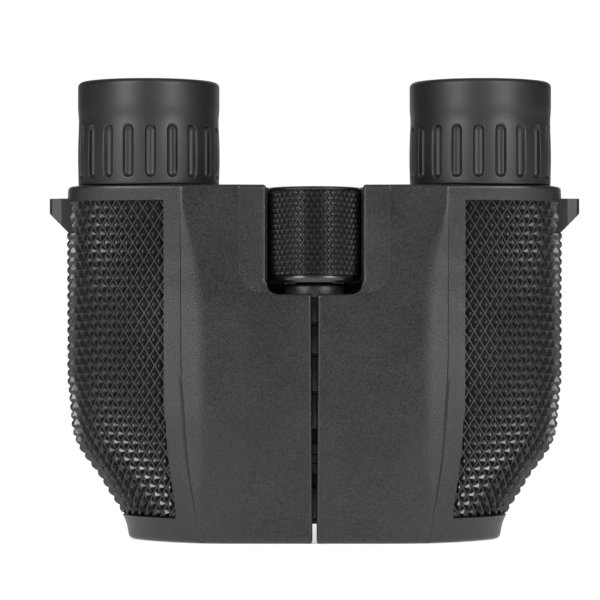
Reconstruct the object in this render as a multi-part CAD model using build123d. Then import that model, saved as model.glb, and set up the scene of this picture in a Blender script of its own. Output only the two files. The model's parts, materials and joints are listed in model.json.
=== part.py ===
from build123d import *
import os
from math import sin, cos, tan, atan2, hypot, radians, degrees, sqrt, pi

os.makedirs("parts", exist_ok=True)

# ---------------------------------------------------------------------------
# Compact reverse-Porro binoculars, 10 x 25.  Millimetres.
# +Z runs along the optical axes: the objective ends rest on z = 0 and the
# eyecups are at the top.  -Y is the dorsal side, with the flush panel beside
# the hinge gap, and +Y is the ventral side, with the V-shaped valley.
# +X is the user's right-hand half.  All plan co-ordinates below are measured
# from the plane of the optical axes, which lies at Y = y_opt in the part frame.
# The pose drawn is fully opened, at the widest eye spacing.
# ---------------------------------------------------------------------------

# overall
body_h = 76.2            # housing height
total_h = 98.9           # to the eyecup rims
y_dorsal = -16.5         # dorsal panel
y_ventral = 18.5         # ventral panel
y_opt = -0.575             # plane of the optical axes in the part frame

# optics
eye_x = 36.0             # eyepiece axis, half of the 72 mm eye spacing
obj_x = 22.0             # objective axis
prism_leg = 9.9          # half of the prism's hypotenuse
prism_w = 13.0           # prism width
prism_plate_z = 54.5
prism_plate_t = 1.5
obj_lens_r = 12.5        # 25 mm objective
obj_bore_r = 13.6
cell_r = 13.3
cell_z0, cell_z1 = 8.2, 21.0

# central hinge
hinge_y = -7.2
tube_r, tube_ri = 4.0, 2.95
knuckle_r = 6.2
hinge_wall_r = 7.6
fold_half = 29.5         # degrees, each half
run = 0.06               # running clearance on the radius

# focusing
focus_travel = 2.25
wheel_r = 10.15
wheel_z0, wheel_z1 = 55.3, 75.8
notch_x = 10.27
notch_y = 3.4            # the notch ends behind the wheel
bay_r = 10.75            # round clearance about the wheel
notch_z = 52.9

# eyepieces
barrel_r, barrel_ri = 12.6, 10.5
cup_r = 15.35
cup_z0 = 76.45
cup_lift = 5.0
diopter_travel = 0.8
slots = 20

skin_t = 1.3             # rubber grip thickness


def lerp(tab, z):
    """Monotone cubic through a table of (z, value)."""
    if z <= tab[0][0]:
        return tab[0][1]
    if z >= tab[-1][0]:
        return tab[-1][1]
    n = len(tab)
    h = [tab[i + 1][0] - tab[i][0] for i in range(n - 1)]
    g = [(tab[i + 1][1] - tab[i][1]) / h[i] for i in range(n - 1)]
    m = [g[0]] + [0.0] * (n - 2) + [g[-1]]
    for i in range(1, n - 1):
        if g[i - 1] * g[i] > 0:
            w1, w2 = 2 * h[i] + h[i - 1], h[i] + 2 * h[i - 1]
            m[i] = (w1 + w2) / (w1 / g[i - 1] + w2 / g[i])
    i = max(k for k in range(n - 1) if tab[k][0] <= z)
    t = (z - tab[i][0]) / h[i]
    return ((1 + 2 * t) * (1 - t) ** 2 * tab[i][1] + t * (1 - t) ** 2 * h[i] * m[i]
            + t * t * (3 - 2 * t) * tab[i + 1][1] + t * t * (t - 1) * h[i] * m[i + 1])


# outer side of the grip, against height
X_OUT = [(0, 40.3), (3, 40.85), (6, 42.15), (10, 44.75), (14, 47.2), (17, 49.5), (20, 51.45),
         (23, 52.6), (26, 52.95), (30, 53.3), (36, 53.8), (69, 53.8), (76.2, 53.5)]
# foot of the bevel beside the dorsal panel, and its crest
X_FOOT = [(0, 24.5), (5.1, 25.0), (11.9, 26.15), (19.5, 27.2), (29, 27.85), (39, 28.45), (76.2, 28.5)]
X_CREST = [(0, 24.1), (5, 24.5), (10.2, 24.6), (17.8, 24.04), (25.2, 23.85), (41, 23.93), (50.6, 24.25),
           (53.4, 24.46), (57.2, 25.1), (61, 25.6), (64, 26.37), (67.6, 27.2), (72.4, 28.0), (76.2, 28.15)]
Y_CREST = [(0, 1.15), (5, 0.85), (12, 0.5), (20, 0.2), (28, 0.0), (76.2, 0.0)]
TILT = [(0, 24.0), (10, 20.0), (20, 14.0), (30, 10.0), (58, 8.0), (68, 6.0), (76.2, 6.0)]
FULL = [(0, 0.56), (10, 0.58), (25, 0.63), (50, 0.69), (66, 0.78), (76.2, 0.78)]
GAP = [(0, 0.42), (55, 0.70), (76.2, 0.72)]
Y_BACK = [(0, 17.2), (12, 17.9), (25, 18.5), (76.2, 18.5)]

V_DIR = (cos(radians(90 - fold_half)), sin(radians(90 - fold_half)))


def outline(z, front=0.0, side=0.0, back=0.0, hinge=0.0):
    """One closed wire of the right-hand half at height z, inset by the amounts given."""
    yf = y_dorsal + front
    rw = hinge_wall_r + hinge
    # an inset outline starts where the hinge wall meets the dorsal wall
    x0 = sqrt(rw * rw - (yf - hinge_y) ** 2) if hinge else lerp(GAP, z)
    xc = lerp(X_CREST, z)
    xf = lerp(X_FOOT, z)
    yc = yf + lerp(Y_CREST, z)
    yk = yc + 0.30 * (xf - xc)
    xo = lerp(X_OUT, z) - side
    yb = lerp(Y_BACK, z) - back
    t = tan(radians(lerp(TILT, z)))
    A, B, C = (x0, yf), (xc, yc), (xf, yk)
    E = (xo, 1.0)
    F = (30.0, yb)
    L = xc - x0
    s = 2.2 * (yc - yf) / (0.45 * L)
    e1 = [A, (x0 + 0.45 * L, yf), (xc - 0.28 * L, yc - 0.28 * L * s), B]
    K = (xo, yk + (xo - xf) * t)
    k = lerp(FULL, z)
    e3 = [C, (xf + k * (K[0] - xf), yk + k * (K[1] - yk)), (xo, E[1] + k * (K[1] - E[1])), E]
    e4 = [E, (xo, E[1] + 0.60 * (yb - E[1])), (F[0] + 0.42 * (xo - F[0]), yb), F]
    # V wall: parallel to the folding plane, 0.35 clear of it
    off = 0.35 + hinge
    nx, ny = V_DIR[1], -V_DIR[0]
    along = sqrt(rw * rw - off * off)
    I = (off * nx + along * V_DIR[0], hinge_y + off * ny + along * V_DIR[1])
    s_top = (yb - I[1]) / V_DIR[1]
    Kc = (I[0] + s_top * V_DIR[0], yb)
    rc = max(3.4 - back, 1.0)
    G = (Kc[0] + rc, yb)
    H = (Kc[0] - rc * V_DIR[0], Kc[1] - rc * V_DIR[1])
    e6 = [G, (G[0] - 0.6 * rc, yb), (H[0] + 0.6 * rc * V_DIR[0], H[1] + 0.6 * rc * V_DIR[1]), H]
    J = (x0, hinge_y - sqrt(rw * rw - x0 * x0))
    am = radians(-5)
    M = (rw * cos(am), hinge_y + rw * sin(am))

    def p(q):
        return (q[0], q[1], z)
    edges = [Bezier(*[p(q) for q in e1]), Line(p(B), p(C)), Bezier(*[p(q) for q in e3]),
             Bezier(*[p(q) for q in e4]), Line(p(F), p(G)), Bezier(*[p(q) for q in e6]),
             Line(p(H), p(I))]
    if hinge:
        edges += [ThreePointArc(p(I), p(M), p(A))]
    else:
        edges += [ThreePointArc(p(I), p(M), p(J)), Line(p(J), p(A))]
    return Wire(edges)


Z_SECT = [0, 4, 8, 12, 16, 20, 24, 29, 34, 40, 46, 52, 58, 64, 70, 76.2]


def half_loft(z0, z1, **inset):
    zs = [z0] + [z for z in Z_SECT if z0 + 1.0 < z < z1 - 1.0] + [z1]
    return Solid.make_loft([outline(z, **inset) for z in zs], False)


def cyl(x, y, r, z0, z1):
    return Pos(x, y, z0) * Cylinder(r, z1 - z0, align=(Align.CENTER, Align.CENTER, Align.MIN))


def tube(x, y, ro, ri, z0, z1):
    return cyl(x, y, ro, z0, z1) - cyl(x, y, ri, z0 - 1, z1 + 1)


def block(x0, x1, y0, y1, z0, z1):
    return Pos(x0, y0, z0) * Box(x1 - x0, y1 - y0, z1 - z0, align=(Align.MIN,) * 3)


def spin(x, y, pts):
    """Solid of revolution about the line x, y from (r, z) points."""
    w = Wire(Polyline(*[(r, 0, z) for r, z in pts], close=True).edges())
    return Pos(x, y, 0) * revolve(Face(w), Axis.Z)


def flip(s):
    return mirror(s, about=Plane.YZ)


arm_dir = degrees(atan2(-hinge_y, obj_x))       # from the hinge to the objective


def arm_block(u0, u1, half_w, z0, z1):
    b = Pos(u0, -half_w, z0) * Box(u1 - u0, 2 * half_w, z1 - z0, align=(Align.MIN,) * 3)
    return Pos(0, hinge_y, 0) * Rot(0, 0, arm_dir) * b


# grip panel outline seen from the dorsal side
grip_pts = [(32.05, 72.9), (32.05, 28.3), (31.7, 26.6), (31.4, 20.7), (30.7, 14.7), (29.8, 8.8), (29.6, 6.6),
            (30.3, 5.2), (60, 5.2), (60, 72.9)]
grip_prism = extrude(Face(Wire(Polyline(*[(x, -40, z) for x, z in grip_pts], close=True).edges())), 80, dir=(0, 1, 0))

knuckles = {"left": [(5.2, 11.8), (32.2, 39.8), (46.8, 52.9)],
            "right": [(24.2, 31.8), (40.2, 46.4)]}

outer = half_loft(0, body_h)
core = half_loft(0, body_h, front=skin_t, side=skin_t, back=skin_t)
cavity = half_loft(3.0, 74.2, front=2.5, side=3.0, back=2.3, hinge=1.7)
lid_space = extrude(Face(outline(74.2, front=1.5, side=1.5, back=1.5, hinge=1.2)), 3, dir=(0, 0, 1))

# wheel notch
notch = block(-30, notch_x, -40, notch_y, notch_z, 90)
notch = fillet(notch.edges().filter_by(Axis.Y).sort_by(Axis.Z)[0:2], 2.4)
notch = notch + (cyl(0, hinge_y, bay_r, wheel_z0 - 0.3, 90) & block(-30, 30, -40, notch_y, 50, 90))
notch_in = block(-30, notch_x + 1.6, -40, 40, notch_z - 1.6, 90)
# finger scoop beside the wheel
scoop_pts = [(16.3, -16.5), (16.3, -19), (8, -19), (8, -14.9)]
scoop = extrude(Face(Wire(Polyline(*[(x, y, 57.0) for x, y in scoop_pts], close=True).edges())), 30, dir=(0, 0, 1))

grip = (outer - core) & grip_prism

shell = outer - grip_prism + (core & grip_prism)
shell = shell - notch - scoop
inner = (cavity - notch_in) + (lid_space - notch_in.moved(Location((-run, 0, 0))))
inner = inner - cyl(obj_x, 0, 15.1, 0, 26)
shell = shell - inner
shell = shell - cyl(obj_x, 0, obj_bore_r, -1, 27)

# ledges under the prism plate, merged with the skin
plate_slab = block(0, 60, -30, 30, prism_plate_z, prism_plate_z + prism_plate_t)
ledges = (block(12, 20, 13.2, 20, 48.5, prism_plate_z) + block(45.4, 52, -3.0, 10.0, 50.5, prism_plate_z)
          + block(12.0, 24, -16, -11.2, 49.5, prism_plate_z)) & (cavity - notch_in)
shell = shell + ledges
# slot in the wall beside the hinge, for the focusing arm
arm_slot = arm_block(5.0, 12.5, 3.5, 14.2, 23.9)
shell = shell - arm_slot
# three screw bosses under the lid
screw_xy = [(14.4, 11.2), (28.6, 14.9), (19.0, -12.4)]
bosses = [cyl(x, y, 1.9, 66.0, 74.2) for x, y in screw_xy]
bosses = (bosses[0] + bosses[1] + bosses[2]) & (cavity - notch_in)
shell = shell + bosses
for x, y in screw_xy:
    shell = shell - cyl(x, y, 0.8, 68.5, 80)

# seat for the eyepiece barrel
shell = shell - cyl(eye_x, 0, 13.2, 72.6, 74.2) - cyl(eye_x, 0, barrel_r, 68.5, 74.2)

# lug socket in the side wall
lug_z0, lug_z1 = 64.4, 73.6


def lug():
    """Moulded strap eye: root plate, two arms and an outer bar round a vertical slot."""
    pts = [(50.9, 73.6), (57.25, 73.6), (57.25, 70.4), (53.0, 66.15), (50.9, 66.15)]
    body = extrude(Face(Wire(Polyline(*[(x, -5.0, z) for x, z in pts], close=True).edges())), 10.0, dir=(0, 1, 0))
    body = body - block(54.15, 55.95, -3.2, 3.2, 60, 80)
    side = [(50.0, -6.0), (53.4, -5.4), (56.6, -4.3), (57.6, -2.5), (57.6, 2.5), (56.6, 4.3), (53.4, 5.4), (50.0, 6.0)]
    return body & extrude(Face(Wire(Polyline(*[(x, y, 60) for x, y in side], close=True).edges())), 20, dir=(0, 0, 1))


strap_lug = lug()
lug_space = strap_lug + block(50.9, 53.0, -5.0, 5.0, 66.15, 73.6)
shell = shell - lug_space + (block(49.7, 50.9, -5.4, 5.4, 65.2, 74.2) & core)
grip = grip - lug_space


def knuckle_set(which):
    out = None
    for z0, z1 in knuckles[which]:
        k = cyl(0, hinge_y, knuckle_r, z0, z1) + arm_block(0, 8.6, 4.4, z0, z1)
        out = k if out is None else out + k
    if which == "left":
        out = out + spin(0, hinge_y, [(3.5, 52.9), (knuckle_r, 52.9), (knuckle_r, 53.6), (5.95, 54.4), (5.4, 55.0), (4.8, 55.2), (3.5, 55.2)])
    bore = tube_r if which == "left" else tube_r + run
    return out - cyl(0, hinge_y, bore, -1, 60)


nodes = {}


def put(name, shape):
    nodes[name] = shape


def housing(which):
    return shell + knuckle_set(which)


cover = (lid_space & block(0, 60, -30, 30, 74.2, 76.0)) - notch_in.moved(Location((0, 0, 0)))
cover = cover - cyl(eye_x, 0, barrel_r, 70, 80)
for x, y in screw_xy:
    cover = cover - cyl(x, y, 1.05, 70, 80) - cyl(x, y, 1.8, 75.2, 80)


def screw(x, y):
    head = cyl(x, y, 1.7, 75.2, 75.9) + cyl(x, y, 0.8, 69.0, 75.2)
    slot1 = block(x - 1.1, x + 1.1, y - 0.22, y + 0.22, 75.45, 77)
    slot2 = block(x - 0.22, x + 0.22, y - 1.1, y + 1.1, 75.45, 77)
    return head - slot1 - slot2


screws = [screw(x, y) for x, y in screw_xy]

# objective end
bezel = spin(obj_x, 0, [(12.9, 0.9), (13.6, 0.9), (13.6, 5.2), (12.6, 5.2), (12.6, 1.6), (12.75, 1.2)])
cell = (tube(obj_x, 0, cell_r, 11.7, cell_z0, cell_z1) - cyl(obj_x, 0, obj_lens_r, cell_z0 - 1, 14.6))
obj_lens = spin(obj_x, 0, [(0, 8.95), (4, 9.05), (8, 9.35), (11, 9.75), (11.6, 9.85), (12.5, 10.0), (12.5, 14.6), (11.7, 14.6), (9.0, 14.75),
                           (5.0, 14.9), (0, 14.97)])
obj_lens = obj_lens & cyl(obj_x, 0, 12.5, 0, 30)
obj_ring = spin(obj_x, 0, [(11.6, 8.6), (12.5, 8.35), (12.5, 10.0), (11.6, 9.85)])

# prisms and their plate
d = 1 / sqrt(2)
P0, P1, P2 = (obj_x, 0.0), (obj_x + prism_leg * d, prism_leg * d), (eye_x, 0.0)


def prism(pa, pb, z, up):
    """Right-angle prism whose hypotenuse face is centred between pa and pb at height z."""
    mx, my = (pa[0] + pb[0]) / 2, (pa[1] + pb[1]) / 2
    ang = degrees(atan2(pb[1] - pa[1], pb[0] - pa[0]))
    s = 1 if up else -1
    c = 0.6
    pts = [(-prism_leg, 0), (prism_leg, 0), (prism_leg, s * c), (c, s * prism_leg), (-c, s * prism_leg), (-prism_leg, s * c)]
    tri = Face(Wire(Polyline(*[(u, -prism_w / 2, w) for u, w in pts], close=True).edges()))
    return Pos(mx, my, z) * Rot(0, 0, ang) * extrude(tri, prism_w, dir=(0, 1, 0))


prism_leg_full = prism_leg
upper_prism = prism(P0, P1, prism_plate_z + prism_plate_t, True)
lower_prism = prism(P1, P2, prism_plate_z, False)
plate = (cavity - notch_in) & plate_slab
for q in (P0, P1, P2):
    plate = plate - cyl(q[0], q[1], 5.6, 50, 60)


def clip(pa, pb, z, up):
    """Spring strap over the prism's ridge, with two feet on the plate."""
    mx, my = (pa[0] + pb[0]) / 2, (pa[1] + pb[1]) / 2
    ang = degrees(atan2(pb[1] - pa[1], pb[0] - pa[0]))
    s = 1 if up else -1
    t = 0.4
    h = prism_leg
    w0 = prism_w / 2
    pts = [(-w0 - t - 1.6, 0), (-w0, 0), (-w0, s * h), (w0, s * h), (w0, 0), (w0 + t + 1.6, 0), (w0 + t + 1.6, s * t),
           (w0 + t, s * t), (w0 + t, s * (h + t)), (-w0 - t, s * (h + t)), (-w0 - t, s * t), (-w0 - t - 1.6, s * t)]
    f = Face(Wire(Polyline(*[(-0.6, v, w) for v, w in pts], close=True).edges()))
    return Pos(mx, my, z) * Rot(0, 0, ang) * extrude(f, 1.2, dir=(1, 0, 0))


clips = [clip(P0, P1, prism_plate_z + prism_plate_t, True), clip(P1, P2, prism_plate_z, False)]

# eyepiece
barrel = tube(eye_x, 0, barrel_r, barrel_ri, 68.5, 92.4) + tube(eye_x, 0, 13.2, barrel_ri, 72.6, 74.2)
barrel = barrel - (block(eye_x - 0.9, eye_x + 0.9, 12.0, 14, 81.0, 93) + block(eye_x - 0.9, eye_x + 0.9, -14, -12.0, 81.0, 93))


def ocular_cell(ro):
    c = tube(eye_x, 0, ro, 9.3, 69.6, 91.0) + tube(eye_x, 0, ro, 7.6, 69.6, 70.4)
    return c


field_stop = tube(eye_x, 0, 9.3, 6.4, 70.4, 71.2)
field_lens = spin(eye_x, 0, [(0, 73.6), (8.6, 74.1), (9.3, 74.1), (9.3, 76.4), (8.6, 76.4), (6.5, 77.3), (3.3, 78.0), (0, 78.3)])
spacers = [tube(eye_x, 0, 9.3, 8.6, 71.2, 74.1), tube(eye_x, 0, 9.3, 8.6, 76.4, 84.4)]
eye_lens = spin(eye_x, 0, [(0, 83.0), (3.0, 83.2), (6.0, 83.75), (8.4, 84.6), (9.3, 84.6), (9.3, 87.4), (8.2, 87.6), (5.0, 88.2), (2.5, 88.45), (0, 88.5)])
eye_ring = spin(eye_x, 0, [(8.1, 87.7), (9.3, 87.4), (9.3, 90.4), (8.9, 90.4), (8.1, 88.9)])
eye_ring = eye_ring - (block(eye_x - 0.5, eye_x + 0.5, -10, 10, 89.9, 91))

guide = tube(eye_x, 0, 13.4, barrel_r + run, 81.7, 87.2)
guide = guide + ((block(eye_x - 0.7, eye_x + 0.7, 12.15, 13.2, 81.7, 87.2) + block(eye_x - 0.7, eye_x + 0.7, -13.2, -12.15, 81.7, 87.2)))
cup_core = spin(eye_x, 0, [(13.46, 76.55), (14.1, 76.55), (14.1, 93.7), (11.2, 93.7), (11.2, 92.7), (13.46, 92.7),
                           (13.46, 81.55), (13.2, 81.4), (13.2, 80.9), (13.46, 80.75)])
prof = [(14.1, cup_z0), (15.22, cup_z0), (15.32, 78.5), (15.40, 82.0), (15.37, 85.0), (15.27, 88.0), (15.18, 89.8),
        (15.22, 91.2), (15.35, 92.5), (15.35, 97.7), (15.22, 98.3), (14.85, 98.75), (14.3, 98.9), (13.4, 98.9),
        (12.9, 98.75), (12.5, 98.3), (11.6, 94.6), (11.2, 93.7), (14.1, 93.7)]
cup = spin(eye_x, 0, prof)
pocket = (Pos(0, 0, 77.8 + 1.15) * extrude(Plane.YZ * Circle(1.15), 2)
          + Pos(0, 0, 89.0 - 1.15) * extrude(Plane.YZ * Circle(1.15), 2)
          + block(0, 2, -1.15, 1.15, 77.8 + 1.15, 89.0 - 1.15))
pockets = None
for i in range(slots):
    # one slot lies 4.4 degrees outboard of the dorsal direction
    a = -90 + 4.4 + 360 / slots * i
    q = Pos(eye_x, 0, 0) * Rot(0, 0, a) * Pos(14.55, 0, 0) * pocket
    pockets = q if pockets is None else pockets + q
cup = cup - pockets


def both(name, shape, left=None):
    put("right_" + name, shape)
    put("left_" + name, flip(shape if left is None else left))


both("housing", housing("right"), housing("left"))
both("top_cover", cover)
both("grip", grip)
both("strap_lug", strap_lug)
both("cover_screws", screws)
both("objective_bezel", bezel)
both("objective_cell", cell)
both("objective_lens", obj_lens)
both("objective_retainer", obj_ring)
both("upper_prism", upper_prism)
both("lower_prism", lower_prism)
both("prism_plate", plate)
both("prism_clips", clips)
pin_hole = Pos(eye_x + 9.0, 0, 78.7) * Rot(0, 90, 0) * Cylinder(0.5, 5, align=(Align.CENTER, Align.CENTER, Align.MIN))
barrel_slot = block(eye_x + 9, eye_x + 14, -0.8, 0.8, 77.15, 80.25)
both("ocular_barrel", barrel - barrel_slot, barrel)
both("ocular_cell", ocular_cell(barrel_ri - 0.07) - pin_hole, ocular_cell(barrel_ri))
both("field_stop", field_stop)
both("field_lens", field_lens)
both("lens_spacers", spacers)
both("eye_lens", eye_lens)
both("eye_retainer", eye_ring)
both("eyecup_guide", guide)
both("eyecup_core", cup_core)
both("eyecup", cup)
put("right_diopter_pin", (Pos(eye_x + 9.35, 0, 78.7) * Rot(0, 90, 0) * Cylinder(0.5, 3.45, align=(Align.CENTER, Align.CENTER, Align.MIN))))
dring = spin(eye_x, 0, [(barrel_r + run, 76.45), (13.1, 76.45), (13.1, 80.5), (barrel_r + run, 80.5), (barrel_r + run, 80.2),
                        (12.95, 80.2), (12.95, 77.2), (barrel_r + run, 77.2)])
put("right_diopter_ring", dring)

# central mechanism
hole = block(-1.0, 1.0, hinge_y - 5, hinge_y + 5, 14.65, 21.25)
put("hinge_tube", tube(0, hinge_y, tube_r, tube_ri, 5.0, 62.0) - hole)
put("hinge_end_cap", cyl(0, hinge_y, 5.4, 4.0, 5.0) + cyl(0, hinge_y, tube_ri, 5.0, 8.0)
    - block(-3, 3, hinge_y - 0.5, hinge_y + 0.5, 3.5, 4.5))
put("hinge_washers", [tube(0, hinge_y, 5.8, tube_r, a, b) for a, b in ((31.85, 32.15), (39.85, 40.15), (46.45, 46.75))])
core_pts = [(tube_r + run, wheel_z0 + 0.1), (8.3, wheel_z0 + 0.1), (8.3, 75.2), (7.6, 75.2), (7.6, 66.5), (1.5, 66.5), (1.5, 62.6),
            (tube_r + run, 62.6)]
put("focus_wheel_core", spin(0, hinge_y, core_pts))
put("focus_wheel_grip", spin(0, hinge_y, [(8.3, wheel_z0), (9.2, wheel_z0), (9.75, wheel_z0 + 0.5), (wheel_r, wheel_z0 + 1.4), (wheel_r, 75.3),
                                          (9.85, wheel_z1), (8.3, wheel_z1)]))
put("focus_wheel_cap", spin(0, hinge_y, [(0, 72.6), (7.6, 72.6), (7.6, 75.2), (8.3, 75.2), (8.3, 75.7), (7.7, 75.5), (4.0, 75.25), (0, 75.2)]))
put("focus_spindle", cyl(0, hinge_y, 1.5, 13.4, 66.5) + cyl(0, hinge_y, 3.0, 66.5, 68.5))
nut = tube(0, hinge_y, tube_ri - run, 1.5 + run, 14.0, 22.0)
nut = nut + (block(-0.7, 0.7, hinge_y - 4.2, hinge_y + 4.2, 17.25, 18.65) - cyl(0, hinge_y, 1.5 + run, 0, 40))
put("focus_nut", nut)
sleeve = tube(0, hinge_y, 5.2, 4.3, 14.9, 21.0) + tube(0, hinge_y, 6.6, 4.3, 14.9, 16.8)
put("focus_carriage", sleeve)


def focus_arm(z0, z1, ri):
    a = cyl(0, hinge_y, 6.6, z0, z1) + arm_block(0, 11, 3.0, z0, z1)
    return a - cyl(0, hinge_y, ri, 0, 40) - cyl(obj_x, 0, cell_r, 0, 40)


put("right_focus_arm", focus_arm(17.05, 18.75, 5.5))
put("left_focus_arm", flip(focus_arm(19.0, 21.0, 5.2)))

for name, shape in nodes.items():
    parts = shape if isinstance(shape, list) else [shape]
    solids = [s for q in parts for s in q.solids()]
    moved = [s.moved(Location((0, y_opt, 0))) for s in solids]
    out = moved[0] if len(moved) == 1 else Compound(children=moved)
    out.label = name
    export_step(out, "parts/" + name + ".step")
    print(name, len(moved), round(sum(s.volume for s in moved), 2))
print("nodes", len(nodes))
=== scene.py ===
import bpy
import bmesh
import json
import math
import numpy as np
from math import sin, cos, tan, radians, sqrt, pi, atan2
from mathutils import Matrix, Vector

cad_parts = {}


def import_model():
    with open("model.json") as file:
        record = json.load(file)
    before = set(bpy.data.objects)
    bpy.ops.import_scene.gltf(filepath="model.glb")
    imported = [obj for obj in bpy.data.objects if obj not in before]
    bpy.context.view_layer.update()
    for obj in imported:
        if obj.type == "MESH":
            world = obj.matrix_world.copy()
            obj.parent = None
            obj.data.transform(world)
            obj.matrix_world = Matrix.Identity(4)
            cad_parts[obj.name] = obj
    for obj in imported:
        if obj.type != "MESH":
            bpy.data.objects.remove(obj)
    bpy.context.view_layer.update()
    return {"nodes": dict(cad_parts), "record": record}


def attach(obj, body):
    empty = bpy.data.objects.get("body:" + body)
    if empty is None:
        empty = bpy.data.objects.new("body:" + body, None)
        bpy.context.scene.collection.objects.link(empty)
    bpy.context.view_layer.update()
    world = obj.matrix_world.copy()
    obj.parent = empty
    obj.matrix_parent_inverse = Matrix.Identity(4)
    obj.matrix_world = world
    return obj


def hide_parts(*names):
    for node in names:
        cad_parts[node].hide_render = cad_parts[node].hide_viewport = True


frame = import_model()
NODES = frame["nodes"]
MM = 0.001

# ---------------------------------------------------------------- dimensions
body_h = 76.2
y_dorsal, y_opt = -16.5, -0.575
eye_x, obj_x = 36.0, 22.0
obj_bore_r = 13.6
hinge_y, hinge_wall_r = -7.2, 7.6
knuckle_r = 6.2
fold_half = 29.5
notch_x, notch_z, notch_y, bay_r = 10.27, 52.9, 3.4, 10.75
wheel_r, wheel_z0, wheel_z1 = 10.15, 55.3, 75.8
skin_t = 1.3
V_DIR = (cos(radians(90 - fold_half)), sin(radians(90 - fold_half)))

X_OUT = [(0, 40.3), (3, 40.85), (6, 42.15), (10, 44.75), (14, 47.2), (17, 49.5), (20, 51.45),
         (23, 52.6), (26, 52.95), (30, 53.3), (36, 53.8), (69, 53.8), (76.2, 53.5)]
X_FOOT = [(0, 24.5), (5.1, 25.0), (11.9, 26.15), (19.5, 27.2), (29, 27.85), (39, 28.45), (76.2, 28.5)]
X_CREST = [(0, 24.1), (5, 24.5), (10.2, 24.6), (17.8, 24.04), (25.2, 23.85), (41, 23.93), (50.6, 24.25),
           (53.4, 24.46), (57.2, 25.1), (61, 25.6), (64, 26.37), (67.6, 27.2), (72.4, 28.0), (76.2, 28.15)]
Y_CREST = [(0, 1.15), (5, 0.85), (12, 0.5), (20, 0.2), (28, 0.0), (76.2, 0.0)]
TILT = [(0, 24.0), (10, 20.0), (20, 16.0), (30, 14.0), (58, 13.0), (66, 11.0), (73, 8.0), (76.2, 6.0)]
FULL = [(0, 0.56), (10, 0.58), (25, 0.63), (50, 0.69), (66, 0.78), (76.2, 0.78)]
GAP = [(0, 0.42), (55, 0.70), (76.2, 0.72)]
Y_BACK = [(0, 17.2), (12, 17.9), (25, 18.5), (76.2, 18.5)]
GRIP_X = [(5.2, 29.6), (6.6, 29.6), (8.8, 29.8), (14.7, 30.7), (20.7, 31.4), (26.6, 31.7), (28.3, 32.05), (72.9, 32.05)]
GRIP_Z0, GRIP_Z1 = 5.2, 72.9


def lerp(tab, z):
    """Monotone cubic through a table of (z, value)."""
    if z <= tab[0][0]:
        return tab[0][1]
    if z >= tab[-1][0]:
        return tab[-1][1]
    n = len(tab)
    h = [tab[i + 1][0] - tab[i][0] for i in range(n - 1)]
    g = [(tab[i + 1][1] - tab[i][1]) / h[i] for i in range(n - 1)]
    m = [g[0]] + [0.0] * (n - 2) + [g[-1]]
    for i in range(1, n - 1):
        if g[i - 1] * g[i] > 0:
            w1, w2 = 2 * h[i] + h[i - 1], h[i] + 2 * h[i - 1]
            m[i] = (w1 + w2) / (w1 / g[i - 1] + w2 / g[i])
    i = max(k for k in range(n - 1) if tab[k][0] <= z)
    t = (z - tab[i][0]) / h[i]
    return ((1 + 2 * t) * (1 - t) ** 2 * tab[i][1] + t * (1 - t) ** 2 * h[i] * m[i]
            + t * t * (3 - 2 * t) * tab[i + 1][1] + t * t * (t - 1) * h[i] * m[i + 1])


def line_tab(tab, z):
    return float(np.interp(z, [a for a, b in tab], [b for a, b in tab]))


def bez(p0, p1, p2, p3, t):
    t = np.asarray(t)[:, None]
    p0, p1, p2, p3 = map(np.array, (p0, p1, p2, p3))
    return (1 - t) ** 3 * p0 + 3 * t * (1 - t) ** 2 * p1 + 3 * t * t * (1 - t) * p2 + t ** 3 * p3


def curves(z, front=0.0, side=0.0, back=0.0, hinge=0.0):
    """The control points of the right half's section at height z."""
    rw = hinge_wall_r + hinge
    yf = y_dorsal + front
    x0 = sqrt(rw * rw - (yf - hinge_y) ** 2) if hinge else lerp(GAP, z)
    xc, xf = lerp(X_CREST, z), lerp(X_FOOT, z)
    yc = yf + lerp(Y_CREST, z)
    yk = yc + 0.30 * (xf - xc)
    xo = lerp(X_OUT, z) - side
    yb = lerp(Y_BACK, z) - back
    t = tan(radians(lerp(TILT, z)))
    A, B, C, E, F = (x0, yf), (xc, yc), (xf, yk), (xo, 1.0), (30.0, yb)
    L = xc - x0
    s = 2.2 * (yc - yf) / (0.45 * L)
    K = (xo, yk + (xo - xf) * t)
    k = lerp(FULL, z)
    e1 = [A, (x0 + 0.45 * L, yf), (xc - 0.28 * L, yc - 0.28 * L * s), B]
    e3 = [C, (xf + k * (K[0] - xf), yk + k * (K[1] - yk)), (xo, E[1] + k * (K[1] - E[1])), E]
    e4 = [E, (xo, E[1] + 0.60 * (yb - E[1])), (F[0] + 0.42 * (xo - F[0]), yb), F]
    off = 0.35 + hinge
    nx, ny = V_DIR[1], -V_DIR[0]
    along = sqrt(rw * rw - off * off)
    I = (off * nx + along * V_DIR[0], hinge_y + off * ny + along * V_DIR[1])
    s_top = (yb - I[1]) / V_DIR[1]
    Kc = (I[0] + s_top * V_DIR[0], yb)
    rc = max(3.4 - back, 1.0)
    G = (Kc[0] + rc, yb)
    H = (Kc[0] - rc * V_DIR[0], Kc[1] - rc * V_DIR[1])
    e6 = [G, (G[0] - 0.6 * rc, yb), (H[0] + 0.6 * rc * V_DIR[0], H[1] + 0.6 * rc * V_DIR[1]), H]
    J = (x0, hinge_y - sqrt(rw * rw - x0 * x0))
    return dict(A=A, B=B, C=C, E=E, F=F, G=G, H=H, I=I, J=J, e1=e1, e3=e3, e4=e4, e6=e6, rw=rw, x0=x0)


def ends(n):
    """n values from 0 to 1, closer at both ends."""
    t = np.linspace(0, 1, n)
    return 0.5 * t + 0.5 * (1 - np.cos(pi * t)) / 2


def scoop_x(z):
    if z <= notch_z:
        return notch_x
    if z >= 58.0:
        return 16.3
    return notch_x + 6.1 * sqrt(max(0.0, 1 - ((58.0 - z) / 5.1) ** 2))


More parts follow.
